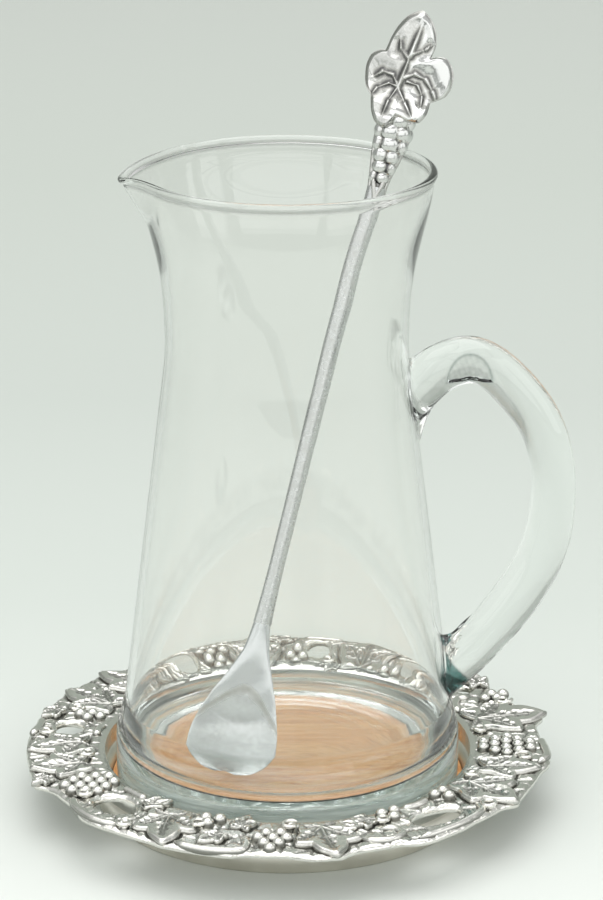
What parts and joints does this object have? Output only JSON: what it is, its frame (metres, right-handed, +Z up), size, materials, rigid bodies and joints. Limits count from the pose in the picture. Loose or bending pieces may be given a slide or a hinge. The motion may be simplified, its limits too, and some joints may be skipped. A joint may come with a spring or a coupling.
{
  "type": "cocktail pitcher",
  "caption": "Clear glass cocktail pitcher with spout and applied handle, on a wood-lined cast coaster with a grape and leaf rim, with a long cast stirrer.",
  "frame": {"origin": "centre of the coaster's foot, on the surface that it stands on", "axes": "+Z up along the pitcher's axis, +X towards the handle, -X towards the spout"},
  "size_m": [0.2092, 0.2055, 0.2981],
  "materials": {
    "cast_dish": "satin cast and linished aluminium",
    "cast_rim": "polished cast aluminium with dark recesses",
    "cast_stirrer": "hand polished cast aluminium",
    "cast_finial": "polished cast aluminium with dark recesses",
    "insert_wood": "oiled turned hardwood",
    "blown_glass": "clear, fire polished",
    "handle_glass": "clear, solid, fire polished"
  },
  "bodies": {
    "coaster": {"coaster_dish": "cast_dish", "wood_insert": "insert_wood", "coaster_rim": "cast_rim", "rim_leaves": "cast_rim", "rim_grapes": "cast_rim", "rim_vines": "cast_rim"},
    "pitcher": {"pitcher_body": "blown_glass", "pitcher_handle": "handle_glass"},
    "stirrer": {"stirrer_paddle": "cast_stirrer", "stirrer_stem": "cast_stirrer", "stirrer_grapes": "cast_finial", "stirrer_leaf": "cast_finial"}
  },
  "joints": [
    {"name": "pitcher_lift", "type": "slide", "parent": "coaster", "child": "pitcher", "axis": [0, 0, 1], "range_m": [0, 0.06]},
    {"name": "stirrer_lift", "type": "slide", "parent": "pitcher", "child": "stirrer", "axis": [0.079, 0.119, 0.9898], "range_m": [0, 0.25]}
  ]
}
